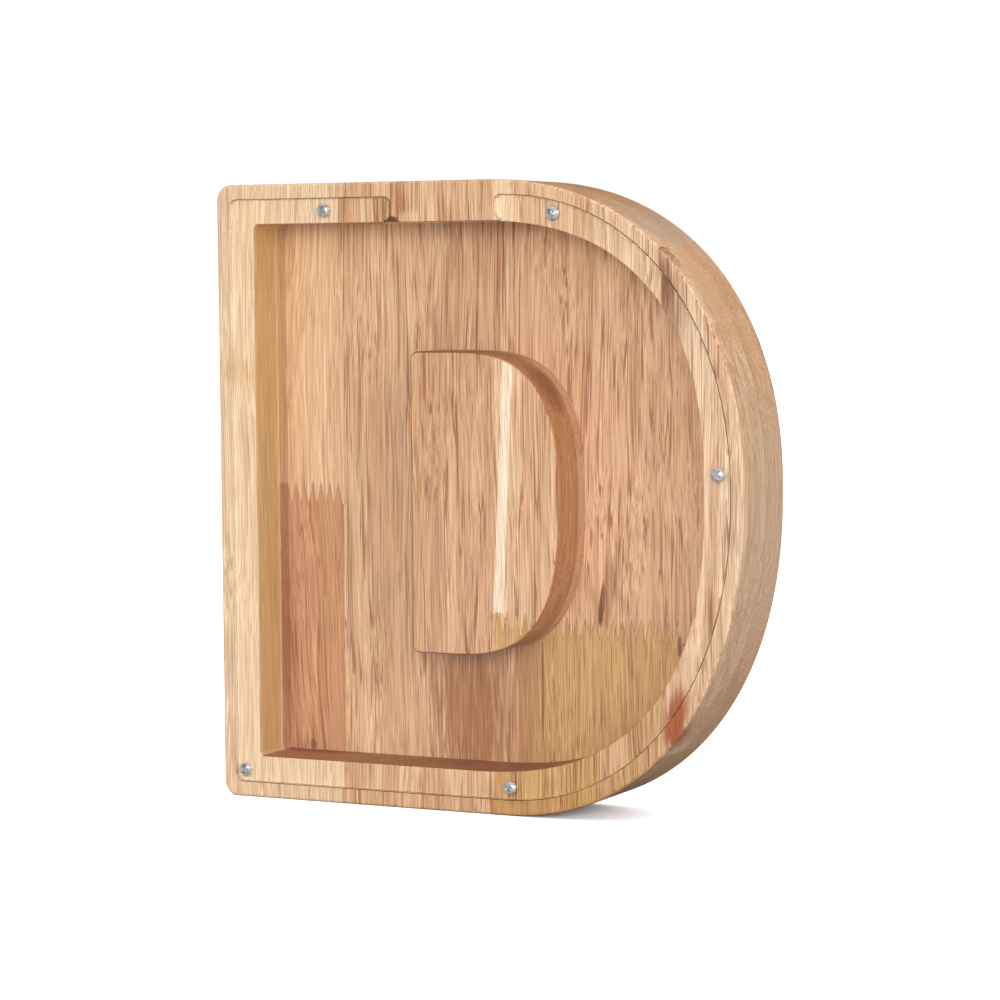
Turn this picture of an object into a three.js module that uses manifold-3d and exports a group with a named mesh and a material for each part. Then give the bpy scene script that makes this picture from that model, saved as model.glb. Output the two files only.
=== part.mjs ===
// A money box cut from a block of glued wooden staves in the shape of a capital D. A pocket milled from
// the front leaves a rim and a centre island. A clear window, flush with the front, is held by five screws.
//
// Millimetres. While modelling, x runs from the straight left side, y from the front face towards the back
// and z up from the base. The last group moves the origin to the middle of the base.
import * as THREE from 'three';
import { mergeVertices } from 'three/addons/utils/BufferGeometryUtils.js';
import Module from 'manifold-3d';

const wasm = await Module();
wasm.setup();

// ---- Driving dimensions ----
const HEIGHT = 225;
const WIDTH = 207.5;
const FRONT_BOARD = 20;            // thickness of the front board
const BACK_BOARD = 18;             // thickness of the back board
const DEPTH = FRONT_BOARD + BACK_BOARD;
const POCKET_DEPTH = 26;           // from the front face to the pocket's floor
const RIM_LEFT = 5;                // width of wood in front, outside the rebate for the window
const RIM_RIGHT = 4.5;
const RIM_TOP = 5.3;
const RIM_BOTTOM = 5.5;
const WINDOW_THICKNESS = 3;
const WINDOW_GAP = 0.3;            // clearance round the window
const PAST = 2;                    // how far a cutting shape runs past the face that it cuts

// Straight steps in each quarter of a bow, in a round rod or head, in a small arc and in the profile
// of a screw's crown
const BOW_STEPS = 26;
const ROUND_STEPS = 20;
const ARC_STEPS = 4;
const CROWN_STEPS = 5;

// Outlines of the letter. The bow starts where the flats end and is widest at the height "widest".
// Over 2, a power makes the bow squarer than an ellipse.
const OUTER = {
  left: 0, right: WIDTH, bottom: 0, top: HEIGHT,
  flatBottom: 114, flatTop: 109, widest: 116, power: 2.23, corner: 5.5,
};
const REBATE = {
  left: RIM_LEFT, right: WIDTH - RIM_RIGHT, bottom: RIM_BOTTOM, top: HEIGHT - RIM_TOP,
  flatBottom: 115, flatTop: 115, widest: 115.5, power: 2.16, corner: 3,
};
const POCKET = {
  left: 14.4, right: 192, bottom: 15.1, top: 210.6,
  flatBottom: 101, flatTop: 101, widest: 116, power: 2.54, corner: 2,
};
const ISLAND = {
  left: 78.4, right: 136.7, bottom: 56.3, top: 164.5,
  flatBottom: 94, flatTop: 94, widest: 111.5, power: 2.82, corner: 3,
};

// Solid wood between the window's two upper ends, in front of the coin slot
const TAB_LEFT = 72.3;
const TAB_RIGHT = 113.5;
const TAB_FLARE = 2.5;             // radius left by the round cutter at the tab's corners
const TAB_EDGE = 0.4;              // thickness of wood left where the flare ends

// Coin slot, through the top wall into the pocket
const SLOT_LENGTH = 34;
const SLOT_WIDTH = 5;
const SLOT_X = 93.2;
const SLOT_Y = 13;

// Glue lines of the two boards, as distances from the left side
const FRONT_GLUE_LINES = [50, 111, 151.5, 176.5];
const BACK_GLUE_LINES = [38, 73, 109.5, 176];

// Finger joints: height of the middle, length of the fingers and how many there are from the left
const FINGER_PITCH = 3.6;
const FINGER_TIP_GAP = 0.5;        // glue-filled gap beyond each fingertip
const LEFT_JOINT = { middle: 111.3, length: 8.5, fingers: 11 };
const RIGHT_JOINT = { middle: 65, length: 8, fingers: 18 };
const ISLAND_JOINT = { middle: 68, length: 9, fingers: 4 };

// Screws: pan head, plain round shank with a short point
const HEAD_DIAMETER = 4.9;
const HEAD_HEIGHT = 1.6;
const HEAD_EDGE = 0.35;            // straight part of the head's height, below its crown
const SHANK_DIAMETER = 2.4;
const SHANK_LENGTH = 13;
const POINT_LENGTH = 2.2;
const WINDOW_HOLE = 3.2;
const PILOT_HOLE = 3;
const PILOT_DEPTH = 15;            // from the front face
const RECESS_LENGTH = 2.6;
const RECESS_WIDTH = 0.6;
const RECESS_DEPTH = 0.9;

const SCREWS = {
  screw_top_left: [45.2, 215.3],
  screw_top_right: [136.5, 212.8],
  screw_right: [198.4, 123],
  screw_bottom_middle: [118.4, 10.2],
  screw_bottom_left: [9.6, 10.3],
};

// ---- Solids: three.js geometry in, manifold-3d for joins and cuts, three.js geometry out ----
function toSolid(geometry) {
  const bare = geometry.clone();
  bare.deleteAttribute('normal');
  bare.deleteAttribute('uv');
  const merged = mergeVertices(bare);
  return new wasm.Manifold(new wasm.Mesh({
    numProp: 3,
    vertProperties: merged.attributes.position.array,
    triVerts: new Uint32Array(merged.index.array),
  }));
}

function toGeometry(solid) {
  const mesh = solid.getMesh();
  const geometry = new THREE.BufferGeometry();
  geometry.setAttribute('position', new THREE.BufferAttribute(mesh.vertProperties, 3));
  geometry.setIndex(new THREE.BufferAttribute(mesh.triVerts, 1));
  geometry.computeVertexNormals();
  return geometry;
}

// A shape drawn in x and z, as a solid between two depths
function board(shape, yFront, yBack) {
  const geometry = new THREE.ExtrudeGeometry(shape, {
    depth: yBack - yFront, bevelEnabled: false, curveSegments: ARC_STEPS,
  });
  geometry.rotateX(Math.PI / 2);
  geometry.translate(0, yBack, 0);
  return toSolid(geometry);
}

function box(xRange, yRange, zRange) {
  const sizes = [xRange, yRange, zRange].map(([low, high]) => high - low);
  const middles = [xRange, yRange, zRange].map(([low, high]) => (low + high) / 2);
  return toSolid(new THREE.BoxGeometry(...sizes).translate(...middles));
}

// A round hole or rod along y, centred on a point of the front
function rod(diameter, [x, z], yFront, yBack) {
  const geometry = new THREE.CylinderGeometry(diameter / 2, diameter / 2, yBack - yFront, ROUND_STEPS);
  return toSolid(geometry.translate(x, (yFront + yBack) / 2, z));
}

// ---- Outlines ----
function inset(outline, distance) {
  return {
    ...outline,
    left: outline.left + distance,
    right: outline.right - distance,
    bottom: outline.bottom + distance,
    top: outline.top - distance,
    corner: outline.corner - distance,
  };
}

// A D, drawn anticlockwise from the left end of its base
function letterShape(outline) {
  const { left, right, bottom, top, flatBottom, flatTop, widest, power, corner } = outline;
  const shape = new THREE.Shape();
  const bowPoint = (flat, edge, angle) => [
    flat + (right - flat) * Math.sin(angle) ** (2 / power),
    widest + (edge - widest) * Math.cos(angle) ** (2 / power),
  ];
  shape.moveTo(left + corner, bottom);
  for (let step = 0; step < BOW_STEPS; step += 1) {
    shape.lineTo(...bowPoint(flatBottom, bottom, (step / BOW_STEPS) * Math.PI / 2));
  }
  shape.lineTo(right, widest);
  for (let step = BOW_STEPS - 1; step >= 0; step -= 1) {
    shape.lineTo(...bowPoint(flatTop, top, (step / BOW_STEPS) * Math.PI / 2));
  }
  shape.lineTo(left + corner, top);
  shape.absarc(left + corner, top - corner, corner, Math.PI / 2, Math.PI);
  shape.absarc(left + corner, bottom + corner, corner, Math.PI, Math.PI * 1.5);
  return shape;
}

// The tab of solid wood, waisted by the round cutter at both sides
function tabShape() {
  const low = POCKET.top;
  const waistLow = low + TAB_EDGE + TAB_FLARE;
  const waistHigh = REBATE.top - TAB_FLARE;
  const rightCentre = TAB_RIGHT + TAB_FLARE;
  const leftCentre = TAB_LEFT - TAB_FLARE;
  const shape = new THREE.Shape();
  shape.moveTo(leftCentre, low);
  shape.lineTo(rightCentre, low);
  shape.absarc(rightCentre, waistLow, TAB_FLARE, -Math.PI / 2, -Math.PI, true);
  shape.absarc(rightCentre, waistHigh, TAB_FLARE, Math.PI, Math.PI / 2, true);
  shape.lineTo(rightCentre, HEIGHT + PAST);
  shape.lineTo(leftCentre, HEIGHT + PAST);
  shape.absarc(leftCentre, waistHigh, TAB_FLARE, Math.PI / 2, 0, true);
  shape.absarc(leftCentre, waistLow, TAB_FLARE, 0, -Math.PI / 2, true);
  return shape;
}

// Everything between two upright glue lines that is above a joint's pointed fingers
function aboveFingers(joint, xLow, xHigh, shift) {
  const root = joint.middle + shift - joint.length / 2;
  const shape = new THREE.Shape();
  shape.moveTo(xHigh, HEIGHT + PAST);
  shape.lineTo(xLow, HEIGHT + PAST);
  for (let finger = 0; finger < joint.fingers; finger += 1) {
    const x = xLow + finger * FINGER_PITCH;
    shape.lineTo(x, root);
    shape.lineTo(x + FINGER_PITCH / 2, root + joint.length);
  }
  shape.lineTo(xLow + joint.fingers * FINGER_PITCH, root);
  shape.lineTo(xHigh, root);
  return shape;
}

// ---- Boards, before they are parted into staves ----
function coinSlot() {
  const straight = SLOT_LENGTH / 2 - SLOT_WIDTH / 2;
  const shape = new THREE.Shape();
  shape.absarc(SLOT_X + straight, SLOT_Y, SLOT_WIDTH / 2, -Math.PI / 2, Math.PI / 2);
  shape.absarc(SLOT_X - straight, SLOT_Y, SLOT_WIDTH / 2, Math.PI / 2, Math.PI * 1.5);
  const depth = HEIGHT - POCKET.top + 2 * PAST;
  const geometry = new THREE.ExtrudeGeometry(shape, { depth, bevelEnabled: false, curveSegments: ARC_STEPS });
  return toSolid(geometry.translate(0, 0, POCKET.top - PAST));
}

function frontRing() {
  const rebate = board(letterShape(REBATE), -PAST, WINDOW_THICKNESS);
  const tab = board(tabShape(), -2 * PAST, WINDOW_THICKNESS + PAST);
  let ring = board(letterShape(OUTER), 0, FRONT_BOARD);
  ring = ring.subtract(board(letterShape(POCKET), -PAST, FRONT_BOARD + PAST));
  ring = ring.subtract(rebate.subtract(tab));
  ring = ring.subtract(coinSlot());
  for (const centre of Object.values(SCREWS)) {
    ring = ring.subtract(rod(PILOT_HOLE, centre, -PAST, PILOT_DEPTH));
  }
  return ring;
}

function frontIsland() {
  return board(letterShape(ISLAND), WINDOW_THICKNESS + WINDOW_GAP, FRONT_BOARD);
}

function backBoard() {
  const recess = board(letterShape(POCKET), FRONT_BOARD - PAST, POCKET_DEPTH);
  const boss = board(letterShape(ISLAND), FRONT_BOARD - 2 * PAST, POCKET_DEPTH + PAST);
  return board(letterShape(OUTER), FRONT_BOARD, DEPTH).subtract(recess.subtract(boss));
}

// ---- Staves ----
function slab(xLow, xHigh, zLow = -PAST, zHigh = HEIGHT + PAST) {
  return box([xLow, xHigh], [-PAST, DEPTH + PAST], [zLow, zHigh]);
}

function jointed(stave, joint, xLow, xHigh) {
  const part = (shift) => board(aboveFingers(joint, xLow, xHigh, shift), -PAST, DEPTH + PAST);
  return {
    upper: stave.intersect(part(FINGER_TIP_GAP / 2)),
    lower: stave.subtract(part(-FINGER_TIP_GAP / 2)),
  };
}

function frontStaves() {
  const ring = frontRing();
  const island = frontIsland();
  const middle = HEIGHT / 2;
  const [first, second, third, fourth] = FRONT_GLUE_LINES;
  const above = (xLow, xHigh) => ring.intersect(slab(xLow, xHigh, middle));
  const below = (xLow, xHigh) => ring.intersect(slab(xLow, xHigh, -PAST, middle));
  const islandRight = jointed(island.intersect(slab(second, third)), ISLAND_JOINT, second, third);
  return {
    front_left_stave: ring.intersect(slab(-PAST, first)),
    front_top_slot_stave: above(first, second),
    front_top_middle_stave: above(second, third),
    front_top_right_stave: above(third, fourth),
    front_right_stave: ring.intersect(slab(fourth, WIDTH + PAST)),
    front_bottom_right_stave: below(third, fourth),
    front_bottom_middle_stave: below(second, third),
    front_bottom_left_stave: below(first, second),
    island_left_stave: island.intersect(slab(first, second)),
    island_upper_stave: islandRight.upper,
    island_lower_stave: islandRight.lower,
  };
}

function backStaves() {
  const whole = backBoard();
  const [first, second, third, fourth] = BACK_GLUE_LINES;
  const left = jointed(whole.intersect(slab(-PAST, first)), LEFT_JOINT, -PAST, first);
  const right = jointed(whole.intersect(slab(third, fourth)), RIGHT_JOINT, third, fourth);
  return {
    back_left_upper_stave: left.upper,
    back_left_lower_stave: left.lower,
    back_second_stave: whole.intersect(slab(first, second)),
    back_third_stave: whole.intersect(slab(second, third)),
    back_fourth_upper_stave: right.upper,
    back_fourth_lower_stave: right.lower,
    back_right_stave: whole.intersect(slab(fourth, WIDTH + PAST)),
  };
}

// ---- Window and screws ----
function windowPane() {
  const tab = board(tabShape(), -PAST, WINDOW_THICKNESS + PAST);
  let pane = board(letterShape(inset(REBATE, WINDOW_GAP)), 0, WINDOW_THICKNESS);
  for (const across of [-WINDOW_GAP, WINDOW_GAP]) {
    for (const up of [-WINDOW_GAP, 0, WINDOW_GAP]) {
      pane = pane.subtract(tab.translate([across, 0, up]));
    }
  }
  for (const centre of Object.values(SCREWS)) {
    pane = pane.subtract(rod(WINDOW_HOLE, centre, -PAST, WINDOW_THICKNESS + PAST));
  }
  return pane;
}

// Profile of the screw as radius and distance along its axis, from the head's crown to the point
function screwProfile() {
  const headRadius = HEAD_DIAMETER / 2;
  const shankRadius = SHANK_DIAMETER / 2;
  const profile = [new THREE.Vector2(0, -HEAD_HEIGHT)];
  for (let step = 1; step <= CROWN_STEPS; step += 1) {
    const angle = (step / CROWN_STEPS) * Math.PI / 2;
    const along = -HEAD_HEIGHT * (HEAD_EDGE + (1 - HEAD_EDGE) * Math.cos(angle));
    profile.push(new THREE.Vector2(headRadius * Math.sin(angle), along));
  }
  profile.push(new THREE.Vector2(headRadius, 0));
  profile.push(new THREE.Vector2(shankRadius, 0));
  profile.push(new THREE.Vector2(shankRadius, SHANK_LENGTH - POINT_LENGTH));
  profile.push(new THREE.Vector2(0, SHANK_LENGTH));
  return profile;
}

function screw([x, z]) {
  const turned = new THREE.LatheGeometry(screwProfile(), ROUND_STEPS);
  const half = RECESS_LENGTH / 2;
  const narrow = RECESS_WIDTH / 2;
  const depths = [-HEAD_HEIGHT - PAST, -HEAD_HEIGHT + RECESS_DEPTH];
  const level = box([-half, half], depths, [-narrow, narrow]);
  const upright = box([-narrow, narrow], depths, [-half, half]);
  return toSolid(turned).subtract(level.add(upright)).translate([x, 0, z]);
}

// ---- Materials ----
const WOOD_COLOURS = {
  front_left_stave: 0xd8ad77,
  front_top_slot_stave: 0xd2a06c,
  front_top_middle_stave: 0xd9ae7c,
  front_top_right_stave: 0xd6a878,
  front_right_stave: 0xcf9864,
  front_bottom_right_stave: 0xd0a064,
  front_bottom_middle_stave: 0xcc9652,
  front_bottom_left_stave: 0xd0a07a,
  island_left_stave: 0xc98f60,
  island_upper_stave: 0xdcae7e,
  island_lower_stave: 0xcb9450,
  back_left_upper_stave: 0xc8904e,
  back_left_lower_stave: 0xa8663c,
  back_second_stave: 0xbf8850,
  back_third_stave: 0xae7348,
  back_fourth_upper_stave: 0xb98054,
  back_fourth_lower_stave: 0xb88444,
  back_right_stave: 0xb97c4e,
};

function wood(name) {
  return new THREE.MeshStandardMaterial({ color: WOOD_COLOURS[name], roughness: 0.55, metalness: 0 });
}

const clear = new THREE.MeshStandardMaterial({
  color: 0xf2f6f6, roughness: 0.05, metalness: 0, transparent: true, opacity: 0.25,
});
const zinc = new THREE.MeshStandardMaterial({ color: 0xc4c8cc, roughness: 0.28, metalness: 1 });

// ---- Object ----
const moneyBox = new THREE.Group();
function addPiece(name, solid, material) {
  const mesh = new THREE.Mesh(toGeometry(solid), material);
  mesh.name = name;
  moneyBox.add(mesh);
}

for (const [name, solid] of Object.entries({ ...frontStaves(), ...backStaves() })) {
  addPiece(name, solid, wood(name));
}
addPiece('window', windowPane(), clear);
for (const [name, centre] of Object.entries(SCREWS)) {
  addPiece(name, screw(centre), zinc);
}
moneyBox.position.set(-WIDTH / 2, -(DEPTH - HEAD_HEIGHT) / 2, 0);

export default moneyBox;
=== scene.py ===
"""Looks of the wooden money box: rounded staves, a clear window, zinc screws, floor, lights and camera.

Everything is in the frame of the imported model, and positions come from its nodes. The sizes of the money
box below are in millimetres, and those of the lamps, the floor and the camera's distance in metres.
"""
import math
from dataclasses import dataclass

import bmesh
import bpy
from mathutils import Matrix, Vector


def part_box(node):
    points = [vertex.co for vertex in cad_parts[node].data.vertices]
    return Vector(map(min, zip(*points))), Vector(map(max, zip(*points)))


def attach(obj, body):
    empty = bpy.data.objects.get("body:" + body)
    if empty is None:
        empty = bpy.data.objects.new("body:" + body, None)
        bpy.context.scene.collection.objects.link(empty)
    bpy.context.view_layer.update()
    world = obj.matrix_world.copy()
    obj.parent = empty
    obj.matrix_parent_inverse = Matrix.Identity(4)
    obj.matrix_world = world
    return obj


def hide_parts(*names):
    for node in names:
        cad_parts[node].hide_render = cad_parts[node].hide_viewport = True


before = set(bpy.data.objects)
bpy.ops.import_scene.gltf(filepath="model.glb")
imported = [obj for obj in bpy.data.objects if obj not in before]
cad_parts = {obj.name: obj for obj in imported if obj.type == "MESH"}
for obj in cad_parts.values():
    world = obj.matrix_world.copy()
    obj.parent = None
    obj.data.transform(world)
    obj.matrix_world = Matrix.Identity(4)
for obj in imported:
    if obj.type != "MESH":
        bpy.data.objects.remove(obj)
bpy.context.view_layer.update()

MM = 0.001

# The wood is modelled in millimetres, in the letter's own place: x from its straight left side, y from
# its front face towards the back and z up from its base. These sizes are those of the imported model.
PLACE = Matrix.Translation(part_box("front_left_stave")[0]) @ Matrix.Scale(MM, 4)
HEIGHT = 225.0
WIDTH = 207.5
FRONT_BOARD = 20.0
DEPTH = 38.0
POCKET_DEPTH = 26.0
REBATE_DEPTH = 3.0
WINDOW_GAP = 0.3            # round the window, and between it and the island
WINDOW_AIR = 0.08           # between the window's back and the rebate
ISLAND_FACE = REBATE_DEPTH + WINDOW_GAP
PAST = 2.0                  # how far a cutting shape runs past the face that it cuts


@dataclass
class Outline:
    """A letter D. The bow starts where the flats end and is widest at the height widest."""

    left: float
    right: float
    bottom: float
    top: float
    flat_bottom: float
    flat_top: float
    widest: float
    power: float            # over 2, the bow is squarer than an ellipse
    corner: float


OUTER = Outline(0, WIDTH, 0, HEIGHT, 114, 109, 116, 2.23, 5.5)
REBATE = Outline(5, 203, 5.5, 219.7, 115, 115, 115.5, 2.16, 3)
POCKET = Outline(14.4, 192, 15.1, 210.6, 101, 101, 116, 2.54, 2)
ISLAND = Outline(78.4, 136.7, 56.3, 164.5, 94, 94, 111.5, 2.82, 3)

# The tab of solid wood in front of the coin slot, waisted by the round cutter
TAB_LEFT = 72.3
TAB_RIGHT = 113.5
TAB_FLARE = 2.5             # radius of the cutter
TAB_EDGE = 0.4              # straight part of its sides, above the pocket's edge
TAB_STEP = 0.1              # the pocket's rounded edge ends over twice this, at the tab's left side
BOW_GAP = 0.5               # from the pocket's bow to the next point on its top edge

SLOT_LENGTH = 34.0
SLOT_WIDTH = 5.0
SLOT_X = 93.2
SLOT_Y = 13.0
PILOT_RADIUS = 1.5
PILOT_DEPTH = 15.0
WINDOW_HOLE_RADIUS = 1.6
HOLE_SIDES = 24

FRONT_GLUE_LINES = (50.0, 111.0, 151.5, 176.5)
BACK_GLUE_LINES = (38.0, 73.0, 109.5, 176.0)
FINGER_PITCH = 3.6
FINGER_TIP_GAP = 0.5


@dataclass
class Joint:
    """A finger joint across a stave: height of its middle, and the length and number of its fingers."""

    middle: float
    length: float
    fingers: int


LEFT_JOINT = Joint(111.3, 8.5, 11)
RIGHT_JOINT = Joint(65.0, 8.0, 18)
ISLAND_JOINT = Joint(68.0, 9.0, 4)

# ---- Edges, as the radius that milling and sanding left ----
OUTER_ROUND = 1.1           # outline of the block, front and back
LIP_ROUND = 0.15            # edge of the rebate and of the tab
POCKET_ROUND = 0.45         # edge of the pocket under the window
ISLAND_ROUND = 0.9          # edge of the island's face
SLOT_ROUND = 0.6            # edge of the coin slot
WINDOW_ROUND = 0.2          # edge of the window
ROUND_STEPS = 4
LEAST_MITRE = 0.3           # keeps a sharp corner from growing far out
WELD = 0.04                 # corners that cutting left closer together than this become one
BOW_STEPS = 60
ARC_STEPS = 8
SHARP_ANGLE = math.radians(35)

# ---- Screws ----
HEAD_RADIUS = 2.45
HEAD_HEIGHT = 1.55
HEAD_EDGE_HEIGHT = 0.5
HEAD_TOP_RADIUS = 1.0       # radius of the head's edge where it meets the crown
HEAD_CHAMFER = 0.12         # at the head's underside
CROWN_STEPS = 10
CROWN_POWER = 0.7           # under 1, the crown is flatter than an ellipse
CORE_RADIUS = 0.85
THREAD_RADIUS = 1.2
THREAD_PITCH = 0.95
PLAIN_NECK = 1.2
SHANK_LENGTH = 13.0
POINT_LENGTH = 2.6
POINT_SHARE = 0.02          # size of the point's end, as a share of the shank
THREAD_SIDES = 24
THREAD_ROWS = 8             # rings of points per turn of the thread
CREST_SHARPNESS = 5.0       # the ridge covers 2 over this of the thread's pitch
RECESS_REACH = 1.55         # from the middle to the end of a wing
RECESS_WIDTH = 0.80
RECESS_DEPTH = 1.25
RECESS_TAPER = 0.55         # reach and width at the recess's bottom, as a share of those sizes
RECESS_FLARE = 1.3          # the same at the top of the shape that cuts it
RECESS_RISE = 0.6           # how far that shape stands above the crown
ROUND_SIDES = 48
SCREW_TURNS = {             # degrees that each head is turned
    "screw_top_left": 20,
    "screw_top_right": 64,
    "screw_right": 38,
    "screw_bottom_middle": 75,
    "screw_bottom_left": 8,
}

# ---- Light ----
ROOM_LIGHT = 0.85           # soft light from all round
ROOM_COLOUR = (1.0, 0.94, 0.86)
ROOM_REFLECTED = 0.15       # the same room as it mirrors in gloss
BACKDROP = 1.02             # how bright the white backdrop looks
CEILING_LIGHT = 0.3
CEILING_SPREAD = math.radians(70)
CEILING_DIRECTION = (0.10, 0.22, -1.0)
LAMP_AIM = (0.0, 0.0, 0.11)
KEY_LIGHT = 20.0
KEY_PLACE = (0.6, -2.2, 0.48)
KEY_SIZE = (1.2, 0.7)
FILL_LIGHT = 11.0
FILL_PLACE = (2.0, -0.9, 0.5)
FILL_SIZE = (1.4, 1.2)
FLOOR_REACH = 60.0
FLOOR_SEEN = 2.2            # how bright the floor looks, past white
FLOOR_BOUNCE = 0.35         # share of light that the floor sends back to the object
FLOOR_TINT = (0.93, 1.0, 1.12)  # makes up for the brown light that the wood throws on the floor

# ---- Camera: where it stands and what it looks at ----
AIM = Vector((11.45, -18.2, 112.3)) * MM
CAMERA_DISTANCE = 1.126
CAMERA_YAW = math.radians(26.52)
CAMERA_PITCH = math.radians(3.95)
CAMERA_ROLL = math.radians(-0.46)
LENS = 115.0
SENSOR = 36.0


@dataclass
class Grain:
    """How the wood of one stave looks. Colours are linear RGB."""

    pale: tuple
    dark: tuple                 # of the broad streaks
    streaks: float = 0.6        # strength of the broad streaks
    lines: float = 0.5          # strength of the long thin grain lines
    flecks: float = 0.4         # strength of the short dark vessel lines
    lean: float = 0.0           # degrees that the grain leans to the right going up
    side_shade: float = 0.0         # how much darker the sides are than the face, as painted shade and bounce light
    seed: int = 0


# Colours of the wood, and the shade and bounce light painted on some of its faces
WHITE_WOOD = (0.95, 0.80, 0.64)
CREAM = (0.88, 0.66, 0.46)
STRAW = (0.82, 0.57, 0.36)
BLUSH = (0.77, 0.495, 0.305)
TAN = (0.72, 0.45, 0.26)
PINK = (0.62, 0.33, 0.18)
HONEY = (0.67, 0.40, 0.165)
AMBER = (0.60, 0.33, 0.15)
GOLD = (0.54, 0.31, 0.12)
ROSE = (0.46, 0.205, 0.095)
SIENNA = (0.38, 0.15, 0.06)
BROWN = (0.34, 0.13, 0.05)
RED_BROWN = (0.24, 0.08, 0.03)
RUST = (0.42, 0.13, 0.05)
UMBER = (0.12, 0.05, 0.02)
OCHRE = (0.68, 0.42, 0.15)
DRIFT = (0.72, 0.53, 0.385)
STONE = (0.56, 0.44, 0.335)
END_GRAIN = (0.85, 0.78, 0.70)  # multiplies the colour of a face across the grain
LEDGE_SHADE = (0.62, 0.39, 0.21)      # painted shade: multiplies it again on the ledge at the pocket's bottom, which gets little light
LEDGE_SHADE_HEIGHTS = (30.0, 50.0)    # between these heights the ledge's painted shade fades out
RING = (0.84, 0.75, 0.66)       # multiplies the colour along growth rings
DARK_FIBRE = (0.70, 0.62, 0.54)  # multiplies the colour of the darkest fibres
PALE_FIBRE = (1.20, 1.21, 1.23)  # multiplies the colour of the palest fibres
MILLED_SIDE_SHADE = (0.77, 0.58, 0.39)     # painted shade and warm bounce light: multiplies the colour of a side that the router cut
LEFT_EDGE_SHADE = (0.36, 0.22, 0.14)      # painted shade: multiplies it again on such sides that face left, away from the lamps

BRIGHT_ZINC = (0.94, 0.955, 0.97)
# painted reflection: the dark colour of patches that stand in for dark reflections in the heads
DARK_REFLECTION_ZINC = (0.40, 0.42, 0.45)

# Patterns in the wood, with their sizes across the grain and along it
BROAD_STREAK = (7.0, 200.0)
NARROW_STREAK = (1.3, 130.0)
GRAIN_LINE = (1.2, 90.0)
LINE_PATCH = (2.4, 48.0)        # where grain lines show, and where not
VESSEL = (0.45, 18.0)
VESSEL_BAND = (4.0, 70.0)       # where vessels are dense, and where not
FIBRE = (0.34, 32.0)
MARK_FRAY = (1.1, 14.0)         # uneven edge of a mark
WARP = (30.0, 150.0)
WARP_REACH = 10.0               # from the farthest warp one way to the farthest the other way
SEED_SHIFT = (17.0, 29.0, 53.0)  # how far apart the patterns of two staves lie

# Growth rings, round a core that lies behind the block at one of several places
CORE_STEP = 18.0
CORE_PLACES = 11
CORE_BEHIND = 95.0
CORE_HEIGHT = 110.0
RING_SQUEEZE = 0.09             # rings run nearly straight up along the grain
RING_WAVE = (20.0, 60.0)
RING_UNEVEN = 12.0
RING_RATE = 2.6                 # radians of a ring's wave per millimetre

GRAINS = {
    "front_left_stave": Grain(CREAM, STRAW, streaks=0.8, lines=0.25, flecks=0.15, seed=1),
    "front_top_slot_stave": Grain(STRAW, PINK, streaks=0.85, lines=0.9, flecks=0.4, seed=2),
    "front_top_middle_stave": Grain(STRAW, PINK, lines=0.5, seed=3),
    "front_top_right_stave": Grain(CREAM, PINK, streaks=0.65, lines=0.8, seed=4),
    "front_right_stave": Grain(CREAM, PINK, streaks=0.75, lines=0.8, flecks=0.6, seed=5),
    "front_bottom_right_stave": Grain(TAN, GOLD, streaks=0.8, lines=1.0, flecks=0.7, seed=6),
    "front_bottom_middle_stave": Grain(HONEY, GOLD, streaks=1.0, lines=0.9, seed=7),
    "front_bottom_left_stave": Grain(STRAW, PINK, streaks=0.9, lines=0.7, seed=8),
    "island_left_stave": Grain(BLUSH, ROSE, streaks=0.5, lines=1.0, flecks=0.8, side_shade=1.0, seed=9),
    "island_upper_stave": Grain(STRAW, PINK, streaks=0.9, lines=0.9, flecks=0.4, side_shade=1.0, seed=10),
    "island_lower_stave": Grain(HONEY, GOLD, lines=0.4, flecks=0.5, side_shade=1.0, seed=11),
    "back_left_upper_stave": Grain(STRAW, TAN, streaks=0.8, lines=0.35, flecks=0.2, seed=12),
    "back_left_lower_stave": Grain(PINK, ROSE, streaks=0.5, lines=1.0, lean=-3.0, seed=13),
    "back_second_stave": Grain(STRAW, PINK, lines=0.8, seed=14),
    "back_third_stave": Grain(BLUSH, ROSE, lines=1.0, flecks=0.6, seed=15),
    "back_fourth_upper_stave": Grain(BLUSH, PINK, lines=0.9, flecks=0.7, seed=16),
    "back_fourth_lower_stave": Grain(HONEY, GOLD, lines=0.4, flecks=1.0, seed=17),
    "back_right_stave": Grain(BLUSH, PINK, lines=0.7, seed=18),
}


@dataclass
class Mark:
    """A band, stain or knot in one stave, or a patch of painted shade or bounce light: an ellipsoid in
    millimetres that fades at its edge.
    """

    stave: str
    centre: tuple
    radii: tuple
    colour: tuple
    strength: float = 0.8
    edge: float = 0.6           # share of the radius over which it fades
    lean: float = 0.0           # degrees that it leans to the right going up


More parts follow.
